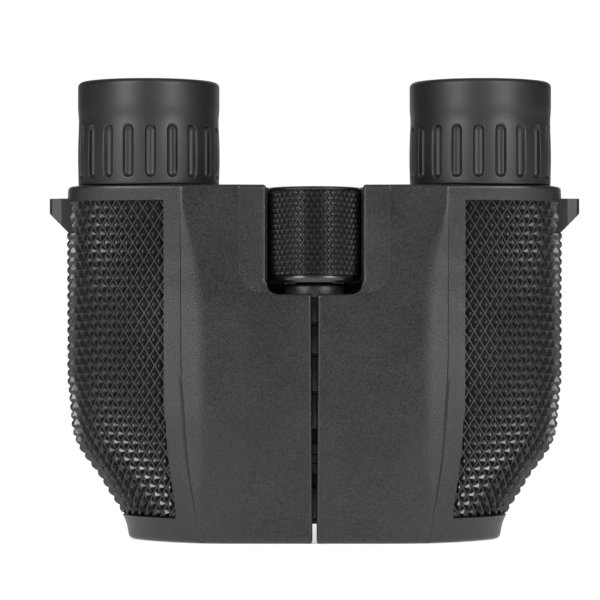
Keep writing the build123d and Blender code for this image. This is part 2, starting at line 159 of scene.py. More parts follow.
NSEG = dict(V=22, H=14, L=4, A=6, P1=10, P2=9, P3=22, B=14, E3a=14, E3b=64, E4a=44, E4b=8, F=10, G=9)


def loop(z, high=False, recess=True, **inset):
    """Closed loop of points round the right half at height z, as an (n, 2) array, always the same count.
    high: the part above the notch floor, cut off at the notch wall. The order is V wall, hinge wall, dorsal panel,
    bevel, outer side, ventral side."""
    c = curves(z, **inset)
    deep = bool(inset)
    out = []
    V = np.array(c["H"]) + (np.array(c["I"]) - np.array(c["H"])) * np.linspace(0, 1, NSEG["V"], endpoint=False)[:, None]
    a0 = atan2(c["I"][1] - hinge_y, c["I"][0])
    tgt = c["A"] if deep else c["J"]
    a1 = atan2(tgt[1] - hinge_y, tgt[0])
    ang = np.linspace(a0, a1, NSEG["H"], endpoint=False)
    Hh = np.stack([c["rw"] * np.cos(ang), hinge_y + c["rw"] * np.sin(ang)], 1)
    r = 0.0 if deep else 0.55
    A = np.array(c["A"])
    J = np.array(tgt)
    Lp = J + (np.array([c["x0"], A[1] + r]) - J) * np.linspace(0, 1, NSEG["L"], endpoint=False)[:, None]
    th = np.linspace(pi, 1.5 * pi, NSEG["A"], endpoint=False)
    Aa = np.stack([A[0] + r + r * np.cos(th), A[1] + r + r * np.sin(th)], 1)
    e1 = bez(*c["e1"], np.linspace(0, 1, 200))

    def panel(xs):
        return np.stack([xs, np.interp(xs, e1[:, 0], e1[:, 1])], 1)
    nx = notch_x + (1.6 if deep else 0.0)
    xs = max(scoop_x(z), nx + 0.02)
    p1 = panel(np.linspace(A[0] + r, nx, NSEG["P1"], endpoint=False))
    p2 = panel(nx + (xs - nx) * np.linspace(0, 1, NSEG["P2"], endpoint=False))
    p3 = panel(xs + (c["B"][0] - xs) * ends(NSEG["P3"] + 1)[:-1])
    B, C = np.array(c["B"]), np.array(c["C"])
    b = B + (C - B) * ends(NSEG["B"] + 1)[:-1][:, None]
    if not deep:
        w = min(1.5, 0.45 * (C[0] - B[0]), 0.8 * (B[0] - xs))
        u1, u2 = p3[-1] - B, (C - B) / np.linalg.norm(C - B)
        u1 = u1 / np.linalg.norm(u1)
        q0, q2 = B + w * u1, B + w * u2

        def soften(pts, sgn):
            d = np.linalg.norm(pts - B, axis=1)
            m = d < w
            t = ((sgn * d[m] / w + 1) / 2)[:, None]
            pts[m] = (1 - t) ** 2 * q0 + 2 * t * (1 - t) * B + t * t * q2
        soften(p3, -1.0)
        soften(b, 1.0)
    # outer side, split at the rubber panel's edges
    t = np.linspace(0, 1, 400)
    q3, q4 = bez(*c["e3"], t), bez(*c["e4"], t)
    gx = line_tab(GRIP_X, z)
    t3 = float(np.interp(gx, q3[:, 0], t)) if gx > C[0] else 0.02
    t4 = float(np.interp(-gx, -q4[:, 0], t)) if gx > c["F"][0] else 0.98
    inside = recess and GRIP_Z0 <= z <= GRIP_Z1 and not deep
    tt = np.linspace(t3, 1, NSEG["E3b"], endpoint=False)
    tt = np.concatenate([[t3, t3 + 0.0015], tt[1:]])
    e3a = bez(*c["e3"], t3 * np.linspace(0, 1, NSEG["E3a"], endpoint=False))
    e3b = bez(*c["e3"], tt)
    if not deep and len(e3a) > 2:
        e3a[0, 1] += 0.16
    uu = np.linspace(0, t4, NSEG["E4a"])
    uu = np.concatenate([uu[:-1], [t4 - 0.0015, t4]])
    e4a = bez(*c["e4"], uu)
    e4b = bez(*c["e4"], t4 + (1 - t4) * np.linspace(0, 1, NSEG["E4b"] + 1)[1:])
    body = np.concatenate([e3b, e4a])
    if inside:
        d = np.gradient(body, axis=0)
        n = np.stack([-d[:, 1], d[:, 0]], 1)
        n /= np.maximum(np.linalg.norm(n, axis=1), 1e-9)[:, None]
        n[0], n[1] = n[3], n[3]
        n[-1], n[-2] = n[-4], n[-4]
        w = np.ones(len(body))
        w[0] = w[-1] = 0.0
        body = body + n * (w * (skin_t - 0.02))[:, None]
    F, G = np.array(c["F"]), np.array(c["G"])
    f = F + (G - F) * np.linspace(0, 1, NSEG["F"])[1:, None]
    g = bez(*c["e6"], np.linspace(0, 1, NSEG["G"], endpoint=False)[1:])
    if high and deep:
        V = np.stack([np.maximum(V[:, 0], nx), V[:, 1]], 1)
        Hh = np.stack([np.full(len(Hh), nx), Hh[:, 1]], 1)
    elif high:
        hp, ip = np.array(c["H"]), np.array(c["I"])
        s1 = hp + (ip - hp) * (hp[1] - notch_y) / (hp[1] - ip[1])
        V = hp + (s1 - hp) * np.linspace(0, 1, NSEG["V"], endpoint=False)[:, None]
        xs_ = s1[0] + (nx - s1[0]) * np.linspace(0, 1, 5)
        ys_ = np.linspace(notch_y, -9.6, NSEG["H"] - 5 + 1)[1:]
        xw = np.maximum(nx, np.sqrt(np.maximum(bay_r ** 2 - (ys_ - hinge_y) ** 2, 0))) if z > wheel_z0 - 0.31 else np.full(len(ys_), nx)
        Hh = np.concatenate([np.stack([xs_, np.full(5, notch_y)], 1), np.stack([xw, ys_], 1)])
    if high:
        sc = 0.0 if deep else 0.06 + 0.12 * (xs - nx)
        yA = e1[0, 1] + sc
        ys = np.linspace(Hh[-1, 1], yA + r, NSEG["L"] + NSEG["A"] + 1)[1:]
        Lp = np.stack([np.full(NSEG["L"], nx), ys[:NSEG["L"]]], 1)
        Aa = np.stack([np.full(NSEG["A"], nx), ys[NSEG["L"]:]], 1)
        if deep:
            p1 = np.stack([np.full(NSEG["P1"], nx), np.full(NSEG["P1"], e1[0, 1])], 1) + np.linspace(0, 0.01, NSEG["P1"])[:, None] * np.array([1, 0])
            p2[:, 0] += 0.012
        else:
            th = np.linspace(pi, 1.5 * pi, NSEG["P1"])
            p1 = np.stack([nx + r + r * np.cos(th), yA + r + r * np.sin(th)], 1)
            p1[:, 1] -= 0.12 * (p1[:, 0] - nx)
            x2 = nx + r + (xs - nx - r) * np.linspace(0, 1, NSEG["P2"] + 1)[1:]
            x2[-1] = max(xs - 0.08, x2[-2] + 0.01)
            p2 = np.stack([x2, np.interp(x2, e1[:, 0], e1[:, 1]) + 0.06 + 0.12 * (xs - x2)], 1)
    return np.concatenate([V, Hh, Lp, Aa, p1, p2, p3, b, e3a, body, e4b, f, g])


def shrink(p, d):
    """The loop moved inward along its normals by d (a number or one per point)."""
    e = np.roll(p, -1, 0) - np.roll(p, 1, 0)
    ln = np.linalg.norm(e, axis=1)
    n = np.stack([-e[:, 1], e[:, 0]], 1) / np.maximum(ln, 1e-9)[:, None]
    return p + n * np.asarray(d)[..., None] if np.ndim(d) else p + n * d


N_V = NSEG["V"]
N_LOW = sum(NSEG[k] for k in ("V", "H", "L", "A"))
N_INNER = N_LOW + NSEG["P1"]


def mesh_object(name, verts, faces, merge=2e-6, smooth_angle=35.0, flip=False, recalc=False):
    bm = bmesh.new()
    vs = [bm.verts.new(v) for v in verts]
    for f in faces:
        ids = []
        for i in f:
            if not ids or ids[-1] != i:
                ids.append(i)
        if len(set(ids)) < 3:
            continue
        try:
            bm.faces.new([vs[i] for i in ids])
        except ValueError:
            pass
    bmesh.ops.remove_doubles(bm, verts=bm.verts, dist=merge)
    bmesh.ops.dissolve_degenerate(bm, edges=bm.edges, dist=merge)
    if recalc:
        bmesh.ops.recalc_face_normals(bm, faces=bm.faces)
    elif flip:
        bmesh.ops.reverse_faces(bm, faces=bm.faces)
    lim = radians(smooth_angle)
    for f in bm.faces:
        f.smooth = True
    for e in bm.edges:
        if len(e.link_faces) != 2 or e.calc_face_angle(0) > lim:
            e.smooth = False
    me = bpy.data.meshes.new(name)
    bm.to_mesh(me)
    bm.free()
    ob = bpy.data.objects.new(name, me)
    bpy.context.scene.collection.objects.link(ob)
    return ob


def to3(p, z):
    return np.concatenate([p, np.full((len(p), 1), z)], 1)


def world(P, side):
    """Right-half coordinates in mm about the optical plane, to metres in the row frame; side -1 mirrors."""
    Q = np.array(P, float)
    Q[:, 1] += y_opt
    Q[:, 0] *= side
    return Q * MM


def stitch(rings):
    """Quads between consecutive closed rings of the same count."""
    faces = []
    n = len(rings[0])
    for k in range(len(rings) - 1):
        a, b = k * n, (k + 1) * n
        for i in range(n):
            j = (i + 1) % n
            faces.append((a + i, a + j, b + j, b + i))
    return np.concatenate(rings), faces


# ---------------------------------------------------------------- housing
ARM_Z = (14.2, 23.9)


def housing_rings():
    rings = []
    rb, rt, rf = 0.9, 0.7, 0.5
    # bore from the inside out, then the bottom face
    base = loop(0)
    ang = np.arctan2(base[:, 1], base[:, 0] - obj_x)

    def circle(r, z):
        return np.stack([obj_x + r * np.cos(ang), r * np.sin(ang), np.full(len(ang), z)], 1)
    # cavity floor and bore
    cav = dict(front=2.5, side=3.0, back=2.3, hinge=1.5)
    inner = []
    for z in (74.2, 70, 66, 62, 58, 54, 51.4):
        inner.append(to3(loop(z, high=True, **cav), z))
    for z in (51.3, 46, 40, 34, 27.0):
        inner.append(to3(loop(z, **cav), z))
    inner.append(circle(obj_bore_r, 27.0))
    inner.append(circle(obj_bore_r, ARM_Z[1]))
    inner.append(circle(obj_bore_r, ARM_Z[0]))
    inner.append(circle(obj_bore_r, 0.5))
    inner.append(circle(obj_bore_r + 0.25, 0.0))
    bottom = to3(shrink(loop(0.0, recess=False), rb), 0.0)
    outer = []
    for k in range(0, 6):
        f = k / 5 * pi / 2
        z = rb - rb * cos(f)
        outer.append(to3(shrink(loop(z, recess=False), rb * (1 - sin(f))), z))
    zs = sorted(set([round(z, 3) for z in np.arange(1.6, notch_z - rf, 0.85)] + [GRIP_Z0, GRIP_Z1] + list(ARM_Z)))
    zs = [z for z in zs if z < notch_z - rf - 0.2]
    low = []
    for z in zs:
        if abs(z - GRIP_Z0) < 1e-6:
            outer.append(to3(loop(z - 0.03, recess=False), z - 0.03))
            outer.append(to3(loop(z), z))
        else:
            outer.append(to3(loop(z), z))
    # convex edge of the notch floor
    w = np.zeros(len(base))
    w[N_V:N_INNER] = 1.0
    w[N_V:N_V + 3] = [0.3, 0.6, 0.85]
    w[N_INNER - 4:N_INNER] = [0.8, 0.6, 0.4, 0.2]
    for k in range(0, 5):
        f = k / 4 * pi / 2
        z = notch_z - rf + rf * sin(f)
        outer.append(to3(shrink(loop(z), w * rf * (1 - cos(f))), z))
    # notch floor, then its concave fillet, then the upper part
    lo = outer[-1]
    R = 2.4
    hi = loop(notch_z + R, high=True)
    idx = np.arange(len(lo))
    step = idx < N_V + 5
    for s in (0.3, 0.65, 1.0):
        q = lo.copy()
        q[step, :2] = (lo[step, :2] + (hi[step] - lo[step, :2]) * s)
        m = (idx < N_INNER) & ~step
        flat_x = np.maximum(lo[:, 0], notch_x - R)
        q[m, 0] = (lo[:, 0] + (flat_x - lo[:, 0]) * s)[m]
        outer.append(q)
    st = outer[-1]
    for k in range(1, 7):
        f = k / 6 * pi / 2
        z = notch_z + R * (1 - cos(f))
        q = to3(loop(z, high=True), z)
        xa = notch_x - R + R * sin(f)
        m = (idx < N_INNER) & ~step
        x = np.maximum(np.maximum(st[:, 0], xa), 0)
        keep = q[:, 0].copy()
        q[m, 0] = np.minimum(x, keep)[m]
        g = 1 - sin(f)
        q[m, 1] = (q[:, 1] * (1 - g) + st[:, 1] * g)[m]
        outer.append(q)
    for z in [z for z in np.arange(notch_z + R + 0.5, body_h - rt - 0.3, 0.8)] + [GRIP_Z1]:
        pass
    zz = sorted(set([round(z, 3) for z in np.arange(notch_z + R + 0.5, body_h - rt - 0.3, 0.8)] + [GRIP_Z1]))
    for z in zz:
        outer.append(to3(loop(z, high=True), z))
        if abs(z - GRIP_Z1) < 1e-6:
            outer.append(to3(loop(z + 0.03, high=True, recess=False), z + 0.03))
    for k in range(0, 6):
        f = k / 5 * pi / 2
        z = body_h - rt + rt * sin(f)
        outer.append(to3(shrink(loop(z, high=True, recess=False), rt * (1 - cos(f))), z))
    rim = dict(front=1.5, side=1.5, back=1.5, hinge=1.2)
    top = [to3(loop(75.9, high=True, **rim), body_h), to3(loop(75.9, high=True, **rim), 74.2)]
    rings = [inner[-1], bottom] + outer + top + inner[:-1]
    return rings


def build_housing(name, side, body, knuckles):
    rings = housing_rings()
    V, F = stitch(rings)
    nl = len(rings[0])
    last = len(V) - nl
    for i in range(nl):
        F.append((last + i, last + (i + 1) % nl, (i + 1) % nl, i))
    # open the arm slot between the hinge wall and the bore
    p = rings[2]
    d = atan2(-hinge_y, obj_x)
    ids = [i for i in range(N_V, N_V + NSEG["H"])
           if abs(-p[i, 0] * sin(d) + (p[i, 1] - hinge_y) * cos(d)) < 4.4 and p[i, 0] > 0]
    i0, i1 = ids[0], ids[-1]
    zr = [(k, float(r[N_V + 3, 2])) for k, r in enumerate(rings)]
    is_bore = [k for k, r in enumerate(rings) if abs(np.hypot(r[i0, 0] - obj_x, r[i0, 1]) - obj_bore_r) < 1e-6]
    kb = {round(float(rings[k][i0, 2]), 2): k for k in is_bore}
    out = [k for k, z in zr if k not in is_bore and ARM_Z[0] - 1e-6 <= z <= ARM_Z[1] + 1e-6]
    k0, k1 = out[0], out[-1]
    lo_b, hi_b = kb[ARM_Z[0]], kb[ARM_Z[1]]

    def hole(f):
        ks = sorted(set(v // nl for v in f))
        js = sorted(set(v % nl for v in f))
        if len(f) != 4 or len(ks) != 2 or len(js) != 2 or not (i0 <= js[0] and js[1] <= i1):
            return False
        return (k0 <= ks[0] and ks[1] <= k1) or ks == sorted((lo_b, hi_b))
    F = [f for f in F if not hole(f)]
    for i in range(i0, i1):
        F.append((k0 * nl + i, k0 * nl + i + 1, lo_b * nl + i + 1, lo_b * nl + i))
        F.append((k1 * nl + i + 1, k1 * nl + i, hi_b * nl + i, hi_b * nl + i + 1))
    F.append(tuple(k * nl + i0 for k in range(k0, k1 + 1)) + (hi_b * nl + i0, lo_b * nl + i0))
    F.append(tuple(k * nl + i1 for k in range(k1, k0 - 1, -1)) + (lo_b * nl + i1, hi_b * nl + i1))
    ob = mesh_object(name, world(V, side), F, smooth_angle=32, flip=(side > 0), recalc=True)
    add_knuckles(ob, side, knuckles)
    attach(ob, body)
    return ob


def rounded_prism(pts, z0, z1, r, steps=3):
    """Rings of a closed 2D outline from z0 to z1 with rounded rims."""
    rings = []
    p = np.array(pts, float)
    for k in range(steps + 1):
        f = k / steps * pi / 2
        rings.append(to3(shrink(p, r * (1 - sin(f))), z0 + r * (1 - cos(f))))
    for k in range(steps + 1):
        f = k / steps * pi / 2
        rings.append(to3(shrink(p, r * (1 - cos(f))), z1 - r + r * sin(f)))
    return rings


def add_knuckles(ob, side, spans):
    """Hinge lugs, as closed solids in the same mesh."""
    d = atan2(-hinge_y, obj_x)
    hw = 4.4
    a = math.asin(hw / knuckle_r)
    th = np.linspace(a, 2 * pi - a, 40)
    pts = [(8.6, -hw), (8.6, hw)] + [(knuckle_r * cos(t), knuckle_r * sin(t)) for t in th]
    pts = [(x * cos(d) - y * sin(d), hinge_y + x * sin(d) + y * cos(d)) for x, y in pts]
    bm = bmesh.new()
    bm.from_mesh(ob.data)
    solids = [(pts, z0, z1, 0.35) for z0, z1 in spans]
    if side < 0:
        ring = [(6.9 * cos(t), hinge_y + 6.9 * sin(t)) for t in np.linspace(0, 2 * pi, 64, endpoint=False)]
        solids.append((ring, 52.0, 55.22, 0.7))
    bore = 4.03 if side < 0 else 4.08
    for outline, z0, z1, rnd in solids:
        rings = rounded_prism(outline, z0, z1, rnd)
        n = len(outline)
        q = np.array(outline) - np.array([0.0, hinge_y])
        q = q / np.linalg.norm(q, axis=1)[:, None] * bore + np.array([0.0, hinge_y])
        rings = [to3(q, z0)] + rings + [to3(q, z1)]
        P = world(np.concatenate(rings), side)
        vs = [bm.verts.new(v) for v in P]
        new = []
        m = len(rings)
        for k in range(m):
            k2 = (k + 1) % m
            for i in range(n):
                j = (i + 1) % n
                f = [vs[k * n + i], vs[k * n + j], vs[k2 * n + j], vs[k2 * n + i]]
                new.append(bm.faces.new(f if side > 0 else f[::-1]))
        for f in new:
            f.smooth = True
        for f in new:
            for e in f.edges:
                if len(e.link_faces) == 2 and e.calc_face_angle(0) > radians(40):
                    e.smooth = False
    bm.to_mesh(ob.data)
    bm.free()


# ---------------------------------------------------------------- rubber grip
class Skin:
    """The outer side of the right half as a surface of (arc length, height); s = 0 where x = 32.05 on the dorsal side."""
    def __init__(self):
        self.z = np.arange(3.0, 75.01, 0.5)
        self.s = np.arange(-5.0, 85.0, 0.25)
        P = np.zeros((len(self.z), len(self.s), 3))
        self.s_back = []
        self.s_front = []
        for i, z in enumerate(self.z):
            c = curves(z)
            t = np.linspace(0, 1, 500)
            q = np.concatenate([bez(*c["e3"], t), bez(*c["e4"], t)[1:], np.linspace(c["F"], (8.0, c["F"][1]), 60)[1:]])
            L = np.concatenate([[0], np.cumsum(np.linalg.norm(np.diff(q, axis=0), axis=1))])
            k = int(np.argmax(q[:, 0]))
            L = L - np.interp(32.05, q[:k, 0], L[:k])
            gx = line_tab(GRIP_X, z)
            self.s_front.append(float(np.interp(gx, q[:k, 0], L[:k])))
            self.s_back.append(float(np.interp(-gx, -q[k:, 0], L[k:])))
            P[i, :, 0] = np.interp(self.s, L, q[:, 0])
            P[i, :, 1] = np.interp(self.s, L, q[:, 1])
            P[i, :, 2] = z
        ds = np.gradient(P, self.s, axis=1)
        dz = np.gradient(P, self.z, axis=0)
        n = np.cross(ds, dz)
        n /= np.maximum(np.linalg.norm(n, axis=2), 1e-9)[..., None]
        self.P, self.n = P, n

    def at(self, s, z, h):
        s, z, h = np.asarray(s), np.asarray(z), np.asarray(h)
        fi = np.clip((z - self.z[0]) / 0.5, 0, len(self.z) - 1.001)
        fj = np.clip((s - self.s[0]) / 0.25, 0, len(self.s) - 1.001)
        i, j = fi.astype(int), fj.astype(int)
        a, b = (fi - i)[:, None], (fj - j)[:, None]

        def g(T):
            return (T[i, j] * (1 - a) * (1 - b) + T[i + 1, j] * a * (1 - b) + T[i, j + 1] * (1 - a) * b + T[i + 1, j + 1] * a * b)
        n = g(self.n)
        n /= np.linalg.norm(n, axis=1)[:, None]
        return g(self.P) + n * h[:, None]


def diamonds(s0, s1, z0, z1, H, V, depth, groove, tip, wrap=None, phase=(0.0, 0.0)):
    """Faces of a staggered lattice of blunt rhombic pyramids: list of polygons of (s, z, h), h <= 0."""
    polys = []
    rows = int((z1 - z0) / (V / 2)) + 3
    cols = int((s1 - s0) / H) + 3
    for r in range(-2, rows):
        zc = z0 + phase[1] + r * V / 2
        for c in range(-2, cols):
            sc = s0 + phase[0] + c * H + (H / 2 if r % 2 else 0)
            if wrap is not None and not (0 <= c < wrap):
                continue
            if zc < z0 - V or zc > z1 + V or (wrap is None and (sc < s0 - H or sc > s1 + H)):
                continue
            ring = []
            for k, hh in ((1.0, -depth), (1.0 - groove, -depth), (tip + 0.10, -0.10 * depth - 0.02), (tip, 0.0)):
                ring.append([(sc + H / 2 * k, zc, hh), (sc, zc + V / 2 * k, hh), (sc - H / 2 * k, zc, hh), (sc, zc - V / 2 * k, hh)])
            for a, b in zip(ring, ring[1:]):
                for i in range(4):
                    j = (i + 1) % 4
                    polys.append([a[i], a[j], b[j], b[i]])
            polys.append(ring[-1])
    return polys


def clip_polys(polys, fun):
    """Keeps the part of each polygon where fun(s, z) >= 0."""
    out = []
    for p in polys:
        d = [fun(q[0], q[1]) for q in p]
        if min(d) >= 0:
            out.append(p)
            continue
        if max(d) <= 0:
            continue
        q = []
        n = len(p)
        for i in range(n):
            j = (i + 1) % n
            if d[i] >= 0:
                q.append(p[i])
            if (d[i] > 0) != (d[j] > 0) and abs(d[i] - d[j]) > 1e-12:
                t = d[i] / (d[i] - d[j])
                q.append(tuple(p[i][k] + t * (p[j][k] - p[i][k]) for k in range(3)))
        if len(q) >= 3:
            out.append(q)
    return out


def grip_mesh(name, skin, side, body):
    H, V, depth, floor = 2.40, 3.72, 1.00, -skin_t
    sf = lambda z: float(np.interp(z, skin.z, skin.s_front))
    sb = lambda z: float(np.interp(z, skin.z, skin.s_back))
    smax = max(skin.s_back)
    polys = diamonds(-3.0, smax, GRIP_Z0, GRIP_Z1, H, V, depth, 0.13, 0.17, phase=(0.6, 0.9))
    polys = clip_polys(polys, lambda s, z: z - GRIP_Z0 - 0.04)
    polys = clip_polys(polys, lambda s, z: GRIP_Z1 - 0.04 - z)
    polys = clip_polys(polys, lambda s, z: s - sf(z) - 0.06)
    polys = clip_polys(polys, lambda s, z: sb(z) - 0.06 - s)
    bm = bmesh.new()
    key = {}

    def vert(q, under):
        k = (round(q[0], 3), round(q[1], 3), round(q[2], 3), under)
        if k not in key:
            key[k] = [len(key), q]
        return k
    top, bot = [], []
    for p in polys:
        top.append([vert(q, 0) for q in p])
        bot.append([vert((q[0], q[1], floor), 1) for q in p][::-1])
    items = sorted(key.values(), key=lambda a: a[0])
    arr = np.array([q for _, q in items])
    P = world(skin.at(arr[:, 0], arr[:, 1], arr[:, 2]), side)
    vs = [bm.verts.new(v) for v in P]
    for ids in top + bot:
        ids = [key[k][0] for k in ids]
        c = []
        for i in ids:
            if not c or c[-1] != i:
                c.append(i)
        if len(c) > 1 and c[0] == c[-1]:
            c.pop()
        if len(set(c)) < 3:
            continue
        try:
            f = bm.faces.new([vs[i] for i in c])
        except ValueError:
            continue
    # side walls between the rims of the two sheets
    under = {}
    for (s, z, h, u), (i, q) in key.items():
        if u:
            under[(s, z)] = i
    bound = [e for e in bm.edges if len(e.link_faces) == 1]
    back = {i: k for k, (i, q) in key.items()}
    bm.verts.index_update()
    for e in bound:
        a, b = e.verts[0].index, e.verts[1].index
        ka, kb = back[a], back[b]
        if ka[3] or kb[3]:
            continue
        ua, ub = under.get(ka[:2]), under.get(kb[:2])
        if ua is None or ub is None or ua == ub:
            continue
        try:
            bm.faces.new([vs[b], vs[a], vs[ua], vs[ub]])
        except ValueError:
            pass
    bmesh.ops.recalc_face_normals(bm, faces=bm.faces)
    bmesh.ops.remove_doubles(bm, verts=bm.verts, dist=2e-7)
    loose = [v for v in bm.verts if not v.link_faces]
    bmesh.ops.delete(bm, geom=loose, context="VERTS")
    me = bpy.data.meshes.new(name)
    bm.to_mesh(me)
    bm.free()
    ob = bpy.data.objects.new(name, me)
    bpy.context.scene.collection.objects.link(ob)
    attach(ob, body)
    return ob


# ---------------------------------------------------------------- eyecups
CUP = [(14.1, 76.45), (15.22, 76.45), (15.32, 78.5), (15.40, 82.0), (15.37, 85.0), (15.27, 88.0), (15.18, 89.8),
       (15.22, 91.2), (15.35, 92.5), (15.35, 97.7), (15.22, 98.3), (14.85, 98.75), (14.3, 98.9), (13.4, 98.9),
       (12.9, 98.75), (12.5, 98.3), (11.6, 94.6), (11.2, 93.7), (14.1, 93.7)]
SLOT_Z0, SLOT_Z1, SLOT_W, SLOT_R = 77.9, 89.0, 1.15, 14.5


def cup_profile():
    pts = []
    side = [(15.10, 76.45), (15.20, 76.52), (15.24, 76.65)] + [(None, z) for z in np.arange(76.9, 91.0, 0.22)]
    rz = [(15.24, 76.5), (15.32, 78.5), (15.40, 82.0), (15.37, 85.0), (15.28, 87.6), (15.20, 89.2), (15.17, 90.2), (15.20, 91.2),
          (15.30, 92.4), (15.35, 93.6), (15.35, 97.9)]
    zr = [(z, r) for r, z in rz]
    pts.append((14.12, 76.45))
    for r, z in side:
        pts.append((r if r is not None else lerp(zr, z), z))
    for z in np.arange(91.0, 97.8, 0.5):
        pts.append((lerp(zr, z), z))
    for k in range(0, 9):
        f = k / 8 * pi / 2
        pts.append((14.25 + 1.10 * cos(f), 97.8 + 1.10 * sin(f)))
    for k in range(0, 7):
        f = k / 6 * pi / 2
        pts.append((13.45 - 0.95 * sin(f), 98.9 - 0.75 * (1 - cos(f))))
    pts += [(12.35, 97.6), (12.0, 96.2), (11.6, 94.7), (11.22, 93.75), (14.12, 93.72)]
    return pts


def eyecup(name, side, body):
    prof = cup_profile()
    per = 30
    n = 20 * per
    ang0 = radians(-90 - 4.4)
    th = ang0 + (np.arange(n) / per - 0.5) * radians(18)
    # columns gather round the slot edges
    u = (np.arange(per) / per - 0.5)
    hw = SLOT_W / 15.35 / radians(18)
    warp = np.interp(np.arange(per) / per, [0, 0.16, 0.27, 0.40, 0.5, 0.60, 0.73, 0.84, 1.0],
                     [-0.5, -hw - 0.07, -hw - 0.005, -hw + 0.05, 0, hw - 0.05, hw + 0.005, hw + 0.07, 0.5])
    th = ang0 + (np.repeat(np.arange(20), per) + np.tile(warp, 20)) * radians(18)
    rings = []
    for r, z in prof:
        rr = np.full(n, r)
        if r > 14.7 and 77.0 < z < 90.0:
            x = np.tile(warp, 20) * radians(18) * 15.35
            zc = np.clip(z, SLOT_Z0 + SLOT_W, SLOT_Z1 - SLOT_W)
            d = SLOT_W - np.sqrt(x * x + (z - zc) ** 2)     # inside distance from the capsule's rim
            t = np.clip((d + 0.10) / 0.30, 0, 1)
            t = t * t * (3 - 2 * t)
            floor = 14.18 + 0.50 * (1 - np.clip(d / SLOT_W, 0, 1)) ** 2
            rr = r + (floor - r) * t
        rings.append(np.stack([eye_x + rr * np.cos(th), rr * np.sin(th), np.full(n, z)], 1))
    rings.append(rings[0])
    V, F = stitch(rings)
    ob = mesh_object(name, world(V, side), F, smooth_angle=50, merge=1e-6, flip=(side < 0))
    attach(ob, body)
    return ob


# ---------------------------------------------------------------- focus wheel
def wheel_grip(name, body):
    V_, cols = 2.24, 40
    H_ = 2 * pi * wheel_r / cols
    z_lo, z_hi = 57.1, 75.0
    depth = 0.62
    polys = diamonds(0.0, 2 * pi * wheel_r, z_lo, z_hi, H_, V_, depth, 0.07, 0.24, wrap=cols, phase=(0.0, 0.55))
    polys = clip_polys(polys, lambda s, z: z - z_lo)
    polys = clip_polys(polys, lambda s, z: z_hi - z)
    r_in = 8.32
    bm = bmesh.new()
    key = {}

    def vid(s, z, h):
        a = round(s / (2 * pi * wheel_r) * 1e5) % 100000
        k = (a, round(z, 3), round(h, 3))
        if k not in key:
            t = s / wheel_r
            r = wheel_r + h
            key[k] = bm.verts.new(Vector(tuple(world([[r * cos(t), hinge_y + r * sin(t), z]], 1)[0])))
        return key[k]

    def add(vs):
        c = []
        for v in vs:
            if v not in c:
                c.append(v)
        if len(c) < 3:
            return
        try:
            f = bm.faces.new(c)
        except ValueError:
            return
    for p in polys:
        add([vid(*q) for q in p])
    bm.verts.ensure_lookup_table()
    # close each end with a smooth lip turned inward
    bm.edges.ensure_lookup_table()
    for zb, prof in ((z_lo, [(wheel_r - 0.62, 57.0), (9.75, 56.93), (9.93, 56.75), (9.96, 56.4), (9.85, 55.95), (9.55, 55.5), (9.15, 55.3), (r_in, 55.3)]),
                     (z_hi, [(wheel_r - 0.62, 75.05), (9.75, 75.08), (10.05, 75.16), (10.12, 75.35), (10.0, 75.62), (9.7, 75.8), (r_in, 75.8)])):
        loop_edges = [e for e in bm.edges if len(e.link_faces) == 1 and all(abs(v.co.z / MM - zb) < 2e-3 for v in e.verts)]
        for e in loop_edges:
            a, b = e.verts

            def ring_v(v, k):
                s = atan2(v.co.y / MM - y_opt - hinge_y, v.co.x / MM) % (2 * pi) * wheel_r
                kk = (round(s / (2 * pi * wheel_r) * 1e5) % 100000, -100 - k, zb)
                if kk not in key:
                    t = s / wheel_r
                    r, z = prof[k]
                    key[kk] = bm.verts.new(Vector(tuple(world([[r * cos(t), hinge_y + r * sin(t), z]], 1)[0])))
                return key[kk]
            prev = (a, b)
            for k in range(len(prof)):
                cur = (ring_v(a, k), ring_v(b, k))
                add([prev[1], prev[0], cur[0], cur[1]])
                prev = cur
    # inner wall
    bmesh.ops.bridge_loops(bm, edges=[e for e in bm.edges if len(e.link_faces) == 1])
    bmesh.ops.recalc_face_normals(bm, faces=bm.faces)
    me = bpy.data.meshes.new(name)
    bm.to_mesh(me)
    bm.free()
    ob = bpy.data.objects.new(name, me)
    bpy.context.scene.collection.objects.link(ob)
    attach(ob, body)
    return ob


# ---------------------------------------------------------------- materials
def shader(name, **sockets):
    m = bpy.data.materials.new(name)
    m.use_nodes = True
    b = m.node_tree.nodes["Principled BSDF"]
    for k, v in sockets.items():
        b.inputs[k.replace("_", " ")].default_value = v
    return m, m.node_tree, b


def node(nt, kind, **kw):
    n = nt.nodes.new(kind)
    for k, v in kw.items():
        if k.startswith("in_"):
            n.inputs[k[3:].replace("_", " ")].default_value = v
        else:
            setattr(n, k, v)
    return n


